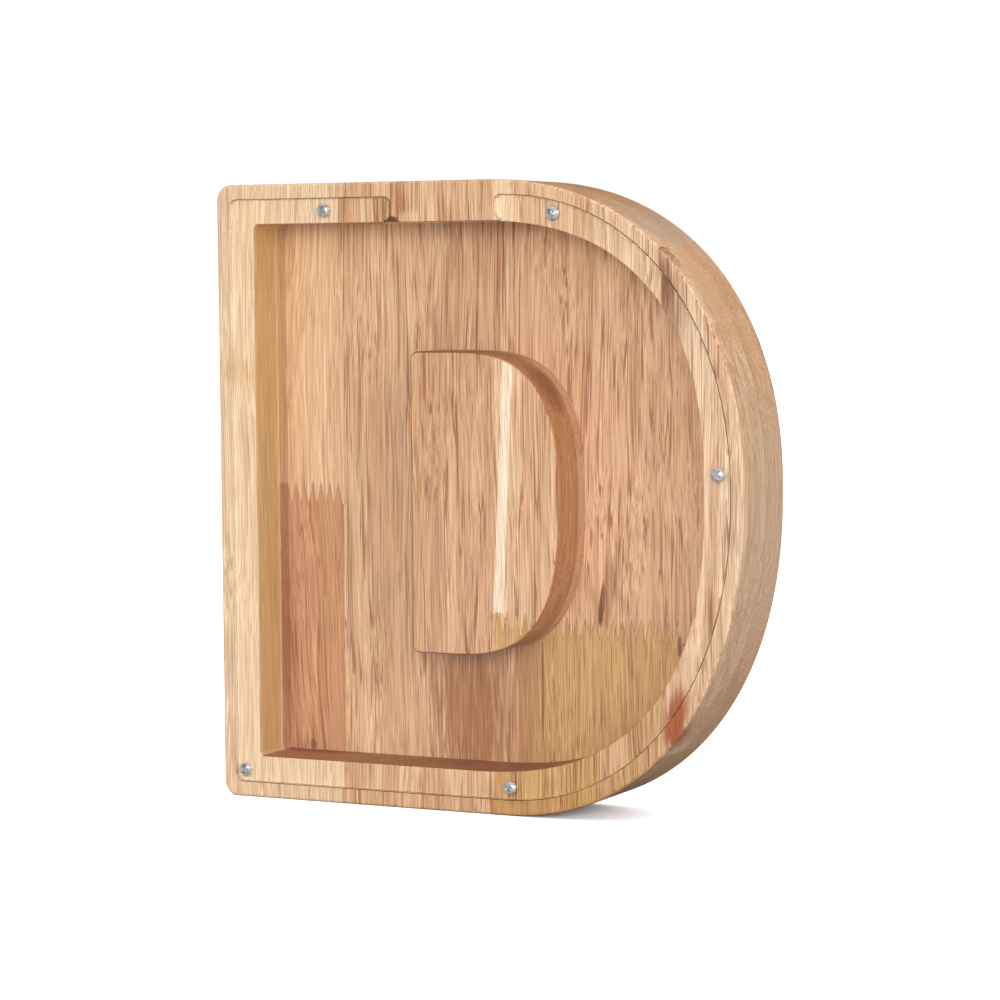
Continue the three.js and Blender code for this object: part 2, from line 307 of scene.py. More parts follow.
FAR = 400.0                 # a radius far past the block: the mark has no end that way
MARKS = [
    # the pocket's left wall: partly the lacquered wall's own colour, partly painted warm light bounced
    # inside the pocket
    Mark("front_left_stave", (14.4, 11.5, 112), (2.2, 9.0, FAR), OCHRE, 0.85, 0.3),
    Mark("front_left_stave", (7, 5, 157), (9, 20, 7), OCHRE, 0.45),
    Mark("front_left_stave", (10, 0, 113), (0.6, 3, 2.4), RED_BROWN, 0.8, 0.3),
    Mark("front_top_slot_stave", (76, 0, 217), (3.2, 8, 14), RUST, 0.5, 0.9),
    Mark("front_top_slot_stave", (73, 0, 209.5), (4.6, 8, 3.6), UMBER, 0.95, 0.3, 25),
    Mark("front_top_slot_stave", (80, 2, 211), (6, 8, 5), STRAW, 0.7),
    Mark("front_top_middle_stave", (117, 2, 214), (3.4, 8, 30), CREAM, 0.8, 0.15),
    Mark("front_bottom_middle_stave", (119.6, 2, 12), (0.5, 9, 9), RED_BROWN, 0.8, 0.3),
    Mark("front_bottom_right_stave", (158, 4, 8), (4.0, 12, 14), RUST, 0.5, 0.9, 6),
    # painted shade: darker golden bands at the foot of the bow, where it curves under towards the floor
    Mark("front_bottom_right_stave", (150, 2, 3), (FAR, FAR, 9), AMBER, 0.65, 0.7),
    Mark("front_bottom_middle_stave", (130, 2, 0), (FAR, FAR, 6.5), AMBER, 0.65, 0.5),
    Mark("front_right_stave", (190, 24, 188), (24, 22, 34), TAN, 0.8, 0.3),
    Mark("front_right_stave", (206, 21, 100), (12, 19, 80), DRIFT, 0.7),
    # painted shade: darker golden tone low on the bow's curved side, which turns down towards the floor
    Mark("front_right_stave", (188, 26, 35), (24, 22, 24), AMBER, 0.35),
    Mark("front_right_stave", (189, 0, 62), (6, 9, 14), CREAM, 0.5, 0.8),
    # painted shade: darker golden tone low on the bow's curved side, which turns down towards the floor
    Mark("back_right_stave", (188, 26, 35), (24, 22, 24), AMBER, 0.35),
    Mark("back_right_stave", (206, 38, 100), (14, 30, 80), DRIFT, 0.7),
    # grey tone of the top right shoulder: partly its own colour, partly painted shade on this
    # upward-turning side
    Mark("front_top_right_stave", (160, 24, 215), (FAR, 22, 17), STONE, 0.85, 0.15),
    Mark("back_fourth_upper_stave", (178, 30, 228), (32, FAR, 30), STONE, 0.85, 0.3),
    Mark("front_right_stave", (178.5, 2, 188), (7.5, 9, 26), RED_BROWN, 0.85, 0.9, -8),
    Mark("front_right_stave", (182, 2, 38), (6, 12, 15), RUST, 1.0, 0.6, 12),
    Mark("front_right_stave", (198, 1, 78), (0.7, 4, 4), UMBER, 0.7, 0.4),
    Mark("island_left_stave", (80.5, 3, 110), (2.6, 20, FAR), AMBER, 0.6),
    Mark("island_upper_stave", (115.2, 3, 116), (2.1, 20, FAR), WHITE_WOOD, 0.8, 0.12, 2.8),
    Mark("island_upper_stave", (113, 3, 66.5), (4, 20, 6), HONEY, 0.9, 0.1),
    # painted shade on the upper right side of the island, darkest at the top
    Mark("island_upper_stave", (130, 13, 154), (20, 9, 16), BROWN, 0.8, 0.7),
    Mark("island_left_stave", (89, 3, 110), (7, 20, FAR), ROSE, 0.35, 0.9),
    # painted shade along the foot of the pocket's left wall, where it meets the floor
    Mark("back_left_upper_stave", (15, 26, 160), (4, 20, FAR), GOLD, 0.45, 0.8),
    Mark("back_left_upper_stave", (36, 26, 150), (6, 20, FAR), TAN, 0.5),
    Mark("back_left_lower_stave", (24, 26, 17), (1.3, 4, 2.6), UMBER, 0.75, 0.4),
    Mark("back_left_lower_stave", (36, 26, 40), (7, 20, FAR), AMBER, 0.35, 0.6, -6),
    # painted shade along the foot of the pocket's left wall, where it meets the floor
    Mark("back_left_lower_stave", (14.5, 26, 62), (4, 20, 56), RUST, 0.45, 0.8),
    Mark("back_second_stave", (56, 26, 107), (9, 20, 90), PINK, 0.35),
    Mark("back_second_stave", (62, 26, 38), (12, 20, 42), PINK, 0.35, 0.8),
    Mark("back_third_stave", (78, 26, 215), (6, 20, 50), STRAW, 0.5),
    Mark("back_third_stave", (107.2, 26, 190), (1.2, 9, 30), CREAM, 0.35, 0.4),
    Mark("back_third_stave", (92, 26, 30), (26, 20, 50), SIENNA, 0.9, 0.9),
    Mark("back_fourth_upper_stave", (143, 26, 74), (1.4, 3, 9.5), UMBER, 0.95, 0.4, 6),
    Mark("back_fourth_upper_stave", (146, 26, 80), (4, 5, 18), BROWN, 0.6, 0.8, 8),
    Mark("back_fourth_lower_stave", (113, 26, 40), (6, 20, 50), ROSE, 0.6),
    Mark("back_fourth_lower_stave", (119.4, 26, 42), (0.6, 6, 24), RED_BROWN, 0.8, 0.4),
    Mark("back_fourth_lower_stave", (173, 26, 60), (1.2, 4, 5), UMBER, 0.7, 0.4),
]


# ---- Shader nodes ----
class Nodes:
    """The nodes of a material or of the world, added one at a time."""

    def __init__(self, owner):
        self.owner = owner
        owner.use_nodes = True
        self.tree = owner.node_tree
        self.tree.nodes.clear()

    def node(self, kind, settings=None, **inputs):
        """A new node with these settings, and with values or other nodes' outputs as inputs."""
        made = self.tree.nodes.new(kind)
        for name, value in (settings or {}).items():
            setattr(made, name, value)
        for name, value in inputs.items():
            self.plug(made, name, value)
        return made

    def plug(self, node, name, value):
        """Sets an input, or links it. In a name, _ stands for a blank, and in0 is the first input."""
        numbered = name[:2] == "in" and name[2:].isdigit()
        socket = node.inputs[int(name[2:])] if numbered else node.inputs[name.replace("_", " ")]
        if isinstance(value, bpy.types.NodeSocket):
            self.tree.links.new(value, socket)
        else:
            socket.default_value = value

    def math(self, operation, first, second=0.0):
        return self.node("ShaderNodeMath", {"operation": operation}, in0=first, in1=second).outputs[0]

    def times(self, first, second):
        return self.math("MULTIPLY", first, second)

    def vector(self, operation, first, second=(0.0, 0.0, 0.0)):
        made = self.node("ShaderNodeVectorMath", {"operation": operation}, in0=first, in1=second)
        return made.outputs["Value" if operation == "LENGTH" else "Vector"]

    def noise(self, place, detail=2.0, rough=0.5):
        made = self.node("ShaderNodeTexNoise", Vector=place, Scale=1.0, Detail=detail, Roughness=rough)
        return made.outputs["Fac"]

    def ramp(self, value, low, high, to_low=0.0, to_high=1.0):
        """Goes smoothly from one level to the other while the value goes from low to high."""
        made = self.node(
            "ShaderNodeMapRange", {"interpolation_type": "SMOOTHSTEP"},
            in0=value, in1=low, in2=high, in3=to_low, in4=to_high,
        )
        return made.outputs[0]

    def mix(self, share, first, second, blend="MIX"):
        """Colour mixed from two, which are sockets or tuples."""
        made = self.node("ShaderNodeMix", {"data_type": "RGBA", "blend_type": blend}, in0=share)
        for name, value in (("in6", first), ("in7", second)):
            is_socket = isinstance(value, bpy.types.NodeSocket)
            self.plug(made, name, value if is_socket else (*value, 1.0))
        return made.outputs[2]

    def tinted(self, share, colour, factor):
        """Colour multiplied by a factor per channel, as far as share says."""
        return self.mix(share, colour, factor, "MULTIPLY")

    def finish(self, surface, output="ShaderNodeOutputMaterial"):
        self.node(output, Surface=surface)
        return self.owner


def new_shader(name):
    return Nodes(bpy.data.materials.new(name))


def stretched(shader, place, size):
    """place, squeezed so that a pattern has this size in millimetres across and along the grain."""
    across, along = size
    return shader.vector("MULTIPLY", place, (1 / across, 1 / across, 1 / along))


# ---- Wood ----
@dataclass
class Surface:
    """A point on a stave and the way it faces, as outputs of nodes."""

    here: object                # the point in the letter's millimetres
    place: object               # the same, leaning and warped with the grain
    facing: object              # X, Y and Z of the surface's direction
    flat: object                # 1 on the front and back faces, 0 on the sides
    along: object               # 1 where the grain runs along the surface, 0 where it is cut across


def letter_point(shader, point):
    """A point of a piece, in the letter's own millimetres."""
    to_letter = PLACE.inverted()
    moved = shader.node("ShaderNodeMapping", Vector=point)
    moved.inputs["Location"].default_value = to_letter.to_translation()
    moved.inputs["Scale"].default_value = to_letter.to_scale()
    return moved.outputs[0]


def grain_place(shader, grain, here):
    """The point shifted by the stave's seed, leaning with the grain and gently warped."""
    shift = [step * grain.seed for step in SEED_SHIFT]
    place = shader.node("ShaderNodeMapping", Vector=here, Location=shift)
    place.inputs["Rotation"].default_value = (0.0, math.radians(-grain.lean), 0.0)
    slow = stretched(shader, place.outputs[0], WARP)
    slow = shader.node("ShaderNodeTexNoise", Vector=slow, Scale=1.0)
    centred = shader.vector("SUBTRACT", slow.outputs["Color"], (0.5, 0.5, 0.5))
    warp = shader.vector("MULTIPLY", centred, (WARP_REACH, WARP_REACH, 0.0))
    return shader.vector("ADD", place.outputs[0], warp)


def wood_surface(shader, grain):
    coordinates = shader.node("ShaderNodeTexCoord").outputs
    here = letter_point(shader, coordinates["Object"])
    facing = shader.node("ShaderNodeSeparateXYZ", in0=coordinates["Normal"]).outputs
    return Surface(
        here=here,
        place=grain_place(shader, grain, here),
        facing=facing,
        flat=shader.math("ABSOLUTE", facing["Y"]),
        along=shader.ramp(shader.math("ABSOLUTE", facing["Z"]), 0.75, 0.97, 1.0, 0.0),
    )


def streaked(shader, surface, grain):
    """The stave's pale colour with broad and narrow streaks of its dark one."""
    broad = shader.noise(stretched(shader, surface.place, BROAD_STREAK), 2.0)
    narrow = shader.noise(stretched(shader, surface.place, NARROW_STREAK), 3.0, 0.6)
    broad = shader.times(shader.ramp(broad, 0.40, 0.60), 0.55)
    narrow = shader.times(shader.ramp(narrow, 0.38, 0.62), 0.45)
    streaks = shader.math("ADD", broad, narrow)
    return shader.mix(shader.times(streaks, grain.streaks), grain.pale, grain.dark)


def grain_lines(shader, place):
    """Long thin lines with pointed ends, where a stretched noise passes its middle value."""
    level = shader.noise(stretched(shader, place, GRAIN_LINE), 1.0)
    off = shader.math("ABSOLUTE", shader.math("SUBTRACT", level, 0.5))
    thin = shader.ramp(off, 0.015, 0.065, 1.0, 0.0)
    patches = shader.noise(stretched(shader, place, LINE_PATCH), 1.0)
    return shader.times(thin, shader.ramp(patches, 0.40, 0.56))


def vessel_lines(shader, place):
    """Short dark dashes, one near the middle of each long cell, in dense and empty bands."""
    cells = stretched(shader, place, VESSEL)
    cells = shader.node("ShaderNodeTexVoronoi", Vector=cells, Scale=1.0).outputs
    dash = shader.ramp(cells["Distance"], 0.17, 0.27, 1.0, 0.0)
    some = shader.node("ShaderNodeSeparateColor", in0=cells["Color"]).outputs[0]
    bands = shader.noise(stretched(shader, place, VESSEL_BAND), 1.0)
    chosen = shader.math("ADD", some, shader.times(bands, 1.6))
    return shader.times(dash, shader.ramp(chosen, 1.0, 1.3))


def mark_mask(shader, here, mark):
    """The mark's strength inside it, fading to 0 at its uneven edge."""
    away = shader.node("ShaderNodeMapping", {"vector_type": "TEXTURE"}, Vector=here)
    away.inputs["Location"].default_value = mark.centre
    away.inputs["Rotation"].default_value = (0.0, math.radians(mark.lean), 0.0)
    away.inputs["Scale"].default_value = mark.radii
    reach = shader.vector("LENGTH", away.outputs[0])
    fray = shader.math("SUBTRACT", shader.noise(stretched(shader, here, MARK_FRAY), 3.0), 0.5)
    frayed = shader.math("ADD", reach, shader.times(fray, 1.5 * mark.edge))
    return shader.ramp(frayed, 1.0 - mark.edge, 1.0, mark.strength, 0.0)


def marked(shader, surface, node, colour):
    """Puts in the stave's bands, stains and knots, and its patches of painted shade and bounce light,
    except where the grain is cut across.
    """
    for mark in MARKS:
        if mark.stave == node:
            mask = shader.times(mark_mask(shader, surface.here, mark), surface.along)
            colour = shader.mix(mask, colour, mark.colour)
    return colour


def fibred(shader, surface, fibre, colour):
    """Adds fine dark and pale fibres, weaker where the grain is cut across."""
    tone = shader.mix(shader.ramp(fibre, 0.25, 0.75), DARK_FIBRE, PALE_FIBRE)
    return shader.tinted(shader.ramp(surface.along, 0.0, 1.0, 0.4, 1.0), colour, tone)


def growth_rings(shader, here, grain):
    """Arcs round the tree's core, which lies behind the stave."""
    core = (CORE_STEP * (grain.seed % CORE_PLACES), CORE_BEHIND, CORE_HEIGHT)
    away = shader.vector("MULTIPLY", shader.vector("SUBTRACT", here, core), (1.0, 1.0, RING_SQUEEZE))
    uneven = shader.times(shader.noise(stretched(shader, here, RING_WAVE)), RING_UNEVEN)
    reach = shader.math("ADD", shader.vector("LENGTH", away), uneven)
    return shader.ramp(shader.math("SINE", shader.times(reach, RING_RATE)), 0.1, 1.0)


def ringed(shader, surface, grain, colour):
    """Shows growth rings where the grain is cut across, and fainter ones on all sides."""
    plain = shader.math("MINIMUM", surface.along, shader.ramp(surface.flat, 0.3, 0.9, 0.65, 1.0))
    across = shader.math("SUBTRACT", 1.0, plain)
    rings = shader.times(growth_rings(shader, surface.here, grain), across)
    return shader.tinted(rings, colour, RING)


def side_shade(shader, surface, grain, colour):
    """Darkens the sides that the router cut, as painted shade and warm bounce light, and paints much
    darker shade on those that face left.
    """
    # painted shade and warm bounce light on the router-cut sides
    side = shader.ramp(surface.flat, 0.7, 0.98, grain.side_shade, 0.0)
    colour = shader.tinted(side, colour, MILLED_SIDE_SHADE)
    # painted shade: much darker on the rounded edges that face left, away from the lamps
    edge = shader.ramp(surface.flat, 0.82, 0.985, grain.side_shade, 0.0)
    to_left = shader.ramp(surface.facing["X"], -0.2, 0.25, 1.0, 0.0)
    return shader.tinted(shader.times(edge, to_left), colour, LEFT_EDGE_SHADE)


def end_grain_and_ledge_shade(shader, surface, colour):
    """Darkens end grain, and paints shade on the pocket's low ledge, which darkens it even more."""
    colour = shader.tinted(shader.math("SUBTRACT", 1.0, surface.along), colour, END_GRAIN)
    height = shader.node("ShaderNodeSeparateXYZ", in0=surface.here).outputs["Z"]
    # painted shade on the low, upward-facing ledge
    low = shader.ramp(height, *LEDGE_SHADE_HEIGHTS, 1.0, 0.0)
    upward = shader.ramp(surface.facing["Z"], 0.75, 0.97)
    return shader.tinted(shader.times(upward, low), colour, LEDGE_SHADE)


def lacquered(shader, colour, fibre, vessels):
    """Satin lacquer over wood with open vessels."""
    relief = shader.math("SUBTRACT", shader.times(fibre, 0.4), vessels)
    bump = shader.node("ShaderNodeBump", Strength=0.25, Distance=0.00012, Height=relief)
    rough = shader.ramp(fibre, 0.2, 0.8, 0.44, 0.58)
    skin = shader.node("ShaderNodeBsdfPrincipled", Base_Color=colour, Roughness=rough)
    shader.plug(skin, "Normal", bump.outputs[0])
    skin.inputs["Specular IOR Level"].default_value = 0.25
    skin.inputs["Coat Weight"].default_value = 0.06
    skin.inputs["Coat Roughness"].default_value = 0.3
    return shader.finish(skin.outputs[0])


def wood(node):
    """Lacquered rubberwood with upright grain, in the colours and with the marks of one stave, with shade
    and bounce light painted on some sides, edges and marks.
    """
    grain = GRAINS[node]
    shader = new_shader("wood_" + node)
    surface = wood_surface(shader, grain)
    fainter = shader.ramp(surface.flat, 0.3, 0.8, 0.4, 1.0)
    lines = shader.times(grain_lines(shader, surface.place), fainter)
    vessels = shader.times(vessel_lines(shader, surface.place), fainter)
    fibre = shader.noise(stretched(shader, surface.place, FIBRE), 2.0, 0.6)

    colour = streaked(shader, surface, grain)
    colour = shader.mix(shader.times(lines, 0.95 * grain.lines), colour, BROWN)
    colour = shader.mix(shader.times(vessels, grain.flecks), colour, RED_BROWN)
    colour = marked(shader, surface, node, colour)
    colour = fibred(shader, surface, fibre, colour)
    colour = ringed(shader, surface, grain, colour)
    colour = side_shade(shader, surface, grain, colour)
    colour = end_grain_and_ledge_shade(shader, surface, colour)
    return lacquered(shader, colour, fibre, vessels)


# ---- Other materials ----
def acrylic():
    """Clear acrylic with sawn edges. Rays from the lamps pass, so that the pocket behind it is lit."""
    shader = new_shader("clear_acrylic")
    coordinates = shader.node("ShaderNodeTexCoord").outputs
    smears = shader.noise(shader.vector("MULTIPLY", coordinates["Object"], (40.0, 40.0, 25.0)), 3.0)
    facing = shader.node("ShaderNodeSeparateXYZ", in0=coordinates["Normal"]).outputs
    sawn = shader.ramp(shader.math("ABSOLUTE", facing["Y"]), 0.5, 0.98, 0.45, 0.0)
    rough = shader.math("ADD", sawn, shader.ramp(smears, 0.35, 0.75, 0.0, 0.008))
    glass = shader.node("ShaderNodeBsdfPrincipled", Roughness=rough)
    glass.inputs["Base Color"].default_value = (0.985, 0.99, 0.985, 1.0)
    glass.inputs["Transmission Weight"].default_value = 1.0
    glass.inputs["IOR"].default_value = 1.49
    clear = shader.node("ShaderNodeBsdfTransparent", Color=(0.96, 0.97, 0.96, 1.0))
    lamp_ray = shader.node("ShaderNodeLightPath").outputs["Is Shadow Ray"]
    mixed = shader.node("ShaderNodeMixShader", in0=lamp_ray, in1=glass.outputs[0], in2=clear.outputs[0])
    return shader.finish(mixed.outputs[0])


def zinc():
    """Bright zinc plate with fine turning marks and rougher patches, whose darker colour is a painted
    reflection.
    """
    shader = new_shader("bright_zinc")
    here = shader.node("ShaderNodeTexCoord").outputs["Object"]
    patches = shader.noise(shader.vector("MULTIPLY", here, (900.0, 900.0, 900.0)), 3.0)
    # painted reflection: the patches darken the colour where the heads would mirror something dark
    colour = shader.mix(shader.ramp(patches, 0.44, 0.64), BRIGHT_ZINC, DARK_REFLECTION_ZINC)
    rough = shader.ramp(patches, 0.3, 0.7, 0.22, 0.38)
    marks = shader.noise(shader.vector("MULTIPLY", here, (9000.0, 2500.0, 9000.0)), 1.0)
    bump = shader.node("ShaderNodeBump", Strength=0.15, Distance=0.00003, Height=marks)
    skin = shader.node("ShaderNodeBsdfPrincipled", Base_Color=colour, Roughness=rough)
    shader.plug(skin, "Normal", bump.outputs[0])
    skin.inputs["Metallic"].default_value = 0.7
    return shader.finish(skin.outputs[0])


def seen_directly(nodes):
    """1 for rays from the camera, also through the clear window, and 0 for light that has bounced."""
    ray = nodes.node("ShaderNodeLightPath").outputs
    bounces = nodes.math("ADD", ray["Diffuse Depth"], ray["Glossy Depth"])
    straight = nodes.math("LESS_THAN", bounces, 0.5)
    through = nodes.times(ray["Is Transmission Ray"], straight)
    return nodes.math("MAXIMUM", ray["Is Camera Ray"], through)


def plain_white():
    """Pale floor. It looks nearly white, and sends less light back to the object."""
    shader = new_shader("plain_floor")
    here = shader.node("ShaderNodeTexCoord").outputs["Object"]
    tone = shader.ramp(shader.noise(here, 2.0), 0.3, 0.7, 0.99, 1.0)
    shade = shader.ramp(seen_directly(shader), 0.0, 1.0, FLOOR_BOUNCE, FLOOR_SEEN)
    shade = shader.times(shade, tone)
    grey = shader.node("ShaderNodeCombineColor", in0=shade, in1=shade, in2=shade).outputs[0]
    colour = shader.tinted(1.0, grey, FLOOR_TINT)
    skin = shader.node("ShaderNodeBsdfPrincipled", Base_Color=colour, Roughness=0.9)
    return shader.finish(skin.outputs[0])


# ---- Outlines, as lists of points in x and z ----
def arc(centre, radius, start, end):
    """Points along an arc between two angles in degrees."""
    x, z = centre
    angles = [math.radians(start + (end - start) * step / ARC_STEPS) for step in range(ARC_STEPS + 1)]
    return [(x + radius * math.cos(a), z + radius * math.sin(a)) for a in angles]


def bow_point(outline, flat, edge, step):
    """A point of the bow: step 0 is at the end of a flat, and the last one where the bow is widest."""
    angle = step / BOW_STEPS * math.pi / 2
    across = math.sin(angle) ** (2 / outline.power)
    upright = max(0.0, math.cos(angle)) ** (2 / outline.power)
    return (flat + (outline.right - flat) * across, outline.widest + (edge - outline.widest) * upright)


def letter(outline, top_edge=()):
    """A D anticlockwise from the bow's lower end. top_edge are more points between bow and corner."""
    lower = [bow_point(outline, outline.flat_bottom, outline.bottom, step) for step in range(BOW_STEPS)]
    downwards = range(BOW_STEPS, -1, -1)
    upper = [bow_point(outline, outline.flat_top, outline.top, step) for step in downwards]
    if top_edge:
        upper = [point for point in upper if point[0] > top_edge[0][0]]
    x = outline.left + outline.corner
    top_corner = arc((x, outline.top - outline.corner), outline.corner, 90, 180)
    bottom_corner = arc((x, outline.bottom + outline.corner), outline.corner, 180, 270)
    return lower + upper + list(top_edge) + top_corner + bottom_corner


def tab_edge():
    """The way round the tab, from the right end of the rebate's top edge to the left end."""
    low = POCKET.top
    waist_low = low + TAB_EDGE + TAB_FLARE
    waist_high = REBATE.top - TAB_FLARE
    right = TAB_RIGHT + TAB_FLARE
    left = TAB_LEFT - TAB_FLARE
    return (
        arc((right, waist_high), TAB_FLARE, 90, 180) + arc((right, waist_low), TAB_FLARE, 180, 270)
        + [(right, low), (left, low)]
        + arc((left, waist_low), TAB_FLARE, 270, 360) + arc((left, waist_high), TAB_FLARE, 0, 90)
    )


def grown(points, distance):
    """The outline moved outwards by a distance. Points run anticlockwise."""
    if distance == 0.0:
        return points
    moved = []
    for before, here, after in zip(points[-1:] + points[:-1], points, points[1:] + points[:1]):
        first = (Vector(here) - Vector(before)).normalized()
        second = (Vector(after) - Vector(here)).normalized()
        out = Vector((first.y + second.y, -first.x - second.x)).normalized()
        share = max(LEAST_MITRE, out.dot((first.y, -first.x)))
        moved.append(tuple(Vector(here) + out * distance / share))
    return moved


def rounding(face, radius, direction, sign=-1):
    """Levels of a rounded edge from a face inwards, as depth and growth. sign 1 rounds a hole's edge."""
    levels = []
    for step in range(ROUND_STEPS + 1):
        angle = step / ROUND_STEPS * math.pi / 2
        depth = face + direction * radius * (1 - math.cos(angle))
        levels.append((depth, sign * radius * (1 - math.sin(angle))))
    return levels


# ---- Solids ----
def lofted(points, levels, upright=False, grow=grown):
    """A closed mesh through one outline grown at several depths. With upright, the depth is along z."""
    mesh = bmesh.new()
    rings = []
    for depth, growth in levels:
        ring = grow(points, growth)
        corners = [(a, b, depth) if upright else (a, depth, b) for a, b in ring]
        rings.append([mesh.verts.new(corner) for corner in corners])
    for first, second in zip(rings, rings[1:]):
        for step in range(len(points)):
            after = (step + 1) % len(points)
            mesh.faces.new((first[step], first[after], second[after], second[step]))
    mesh.faces.new(rings[0])
    mesh.faces.new(rings[-1])
    bmesh.ops.recalc_face_normals(mesh, faces=mesh.faces)
    return mesh


def board(points, front, back):
    """A plain board of this outline between two depths."""
    return lofted(points, [(front, 0.0), (back, 0.0)])


def box(low, high):
    corners = [(low[0], low[2]), (high[0], low[2]), (high[0], high[2]), (low[0], high[2])]
    return board(corners, low[1], high[1])


def rods(radius, front, back):
    """Round rods along y at the screws, as one mesh."""
    mesh = bmesh.new()
    angles = [2 * math.pi * side / HOLE_SIDES for side in range(HOLE_SIDES)]
    for x, z in screw_places():
        circle = [(x + radius * math.cos(a), z + radius * math.sin(a)) for a in angles]
        add(mesh, board(circle, front, back))
    return mesh


def screw_places():
    """x and z of each screw, in the letter's millimetres."""
    places = []
    for node in SCREW_TURNS:
        low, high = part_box(node)
        middle = PLACE.inverted() @ ((low + high) / 2)
        places.append((middle.x, middle.z))
    return places


def add(mesh, other):
    """Puts another mesh's faces into this one."""
    data = bpy.data.meshes.new("part")
    other.to_mesh(data)
    other.free()
    mesh.from_mesh(data)
    bpy.data.meshes.remove(data)


def helper(name, mesh):
    """A passing object for a cut."""
    data = bpy.data.meshes.new(name)
    mesh.to_mesh(data)
    made = bpy.data.objects.new(name, data)
    bpy.context.scene.collection.objects.link(made)
    return made


def combined(mesh, other, operation):
    """A new mesh: this one cut by the other, or what the two share."""
    target = helper("target", mesh)
    tool = helper("tool", other)
    change = target.modifiers.new("change", "BOOLEAN")
    change.operation = operation
    change.solver = "EXACT"
    change.object = tool
    seen = target.evaluated_get(bpy.context.evaluated_depsgraph_get())
    result = bmesh.new()
    result.from_mesh(seen.to_mesh())
    seen.to_mesh_clear()
    for made in (target, tool):
        data = made.data
        bpy.data.objects.remove(made)
        bpy.data.meshes.remove(data)
    return result


def less(mesh, other):
    return combined(mesh, other, "DIFFERENCE")


def shared(mesh, other):
    return combined(mesh, other, "INTERSECT")


# ---- Boards, before they are parted into staves ----
def pocket_growth(points, distance):
    """The pocket's edge grown for its rounding, but not under the tab, where the wall is straight."""
    moved = []
    for here, there in zip(points, grown(points, distance)):
        x, z = here
        under_tab = TAB_LEFT - TAB_FLARE < x < TAB_RIGHT + TAB_FLARE and z > HEIGHT / 2
        moved.append(here if under_tab else there)
    return moved


def pocket_cutter():
    """The pocket through the front board, with points on its top edge where the tab begins and ends."""
    tab_side = TAB_LEFT - TAB_FLARE
    places = (POCKET.flat_top - BOW_GAP, tab_side + TAB_STEP, tab_side - TAB_STEP)
    ends = [(x, POCKET.top) for x in places]
    levels = rounding(REBATE_DEPTH, POCKET_ROUND, 1, 1) + [(FRONT_BOARD + PAST, 0.0)]
    return lofted(letter(POCKET, ends), levels, grow=pocket_growth)


def slot_cutter():
    """The coin slot: two half circles and straight sides, seen from above."""
    straight = (SLOT_LENGTH - SLOT_WIDTH) / 2
    points = arc((SLOT_X + straight, SLOT_Y), SLOT_WIDTH / 2, -90, 90)
    points += arc((SLOT_X - straight, SLOT_Y), SLOT_WIDTH / 2, 90, 270)
    levels = [(HEIGHT + PAST, SLOT_ROUND)] + rounding(HEIGHT, SLOT_ROUND, -1, 1)
    return lofted(points, levels + [(POCKET.top - PAST, 0.0)], upright=True)


def front_ring():
    """The front board round the pocket, with the rebate, the coin slot and the pilot holes."""
    levels = rounding(0.0, OUTER_ROUND, 1) + [(FRONT_BOARD, 0.0)]
    ring = lofted(letter(OUTER), levels)
    opening = [(-PAST, LIP_ROUND)] + rounding(0.0, LIP_ROUND, 1, 1) + [(REBATE_DEPTH, 0.0)]
    ring = less(ring, lofted(letter(REBATE, tab_edge()), opening))
    ring = less(ring, pocket_cutter())
    ring = less(ring, slot_cutter())
    return less(ring, rods(PILOT_RADIUS, -PAST, PILOT_DEPTH))


def island():
    return lofted(letter(ISLAND), rounding(ISLAND_FACE, ISLAND_ROUND, 1) + [(FRONT_BOARD, 0.0)])


def back_board():
    """The back board, with the rest of the pocket's depth milled in round the island."""
    recess = less(
        board(letter(POCKET), FRONT_BOARD - PAST, POCKET_DEPTH),
        board(letter(ISLAND), FRONT_BOARD - 2 * PAST, POCKET_DEPTH + PAST),
    )
    levels = [(FRONT_BOARD, 0.0)] + rounding(DEPTH, OUTER_ROUND, -1)[::-1]
    return less(lofted(letter(OUTER), levels), recess)


# ---- Staves ----
def between(mesh, low, high, bottom=-PAST, top=HEIGHT + PAST):
    """The part of a mesh between two glue lines, and perhaps two heights."""
    return shared(mesh, box((low, -PAST, bottom), (high, DEPTH + PAST, top)))


def above_fingers(joint, low, high, shift):
    """Everything between two glue lines that is above a joint's pointed fingers."""
    root = joint.middle + shift - joint.length / 2
    points = [(high, root), (high, HEIGHT + PAST), (low, HEIGHT + PAST)]
    for finger in range(joint.fingers):
        x = low + finger * FINGER_PITCH
        points += [(x, root), (x + FINGER_PITCH / 2, root + joint.length)]
    points.append((low + joint.fingers * FINGER_PITCH, root))
    return board(points, -PAST, DEPTH + PAST)


def jointed(mesh, joint, low, high):
    """The upper and the lower piece of a stave that is finger-jointed end to end."""
    upper = shared(mesh, above_fingers(joint, low, high, FINGER_TIP_GAP / 2))
    lower = less(mesh, above_fingers(joint, low, high, -FINGER_TIP_GAP / 2))
    return upper, lower


def front_staves():
    ring = front_ring()
    middle_piece = island()
    first, second, third, fourth = FRONT_GLUE_LINES
    middle = HEIGHT / 2
    upper, lower = jointed(between(middle_piece, second, third), ISLAND_JOINT, second, third)
    return {
        "front_left_stave": between(ring, -PAST, first),
        "front_top_slot_stave": between(ring, first, second, middle),
        "front_top_middle_stave": between(ring, second, third, middle),
        "front_top_right_stave": between(ring, third, fourth, middle),
        "front_right_stave": between(ring, fourth, WIDTH + PAST),
        "front_bottom_right_stave": between(ring, third, fourth, -PAST, middle),
        "front_bottom_middle_stave": between(ring, second, third, -PAST, middle),
        "front_bottom_left_stave": between(ring, first, second, -PAST, middle),
        "island_left_stave": between(middle_piece, first, second),
        "island_upper_stave": upper,
        "island_lower_stave": lower,
    }


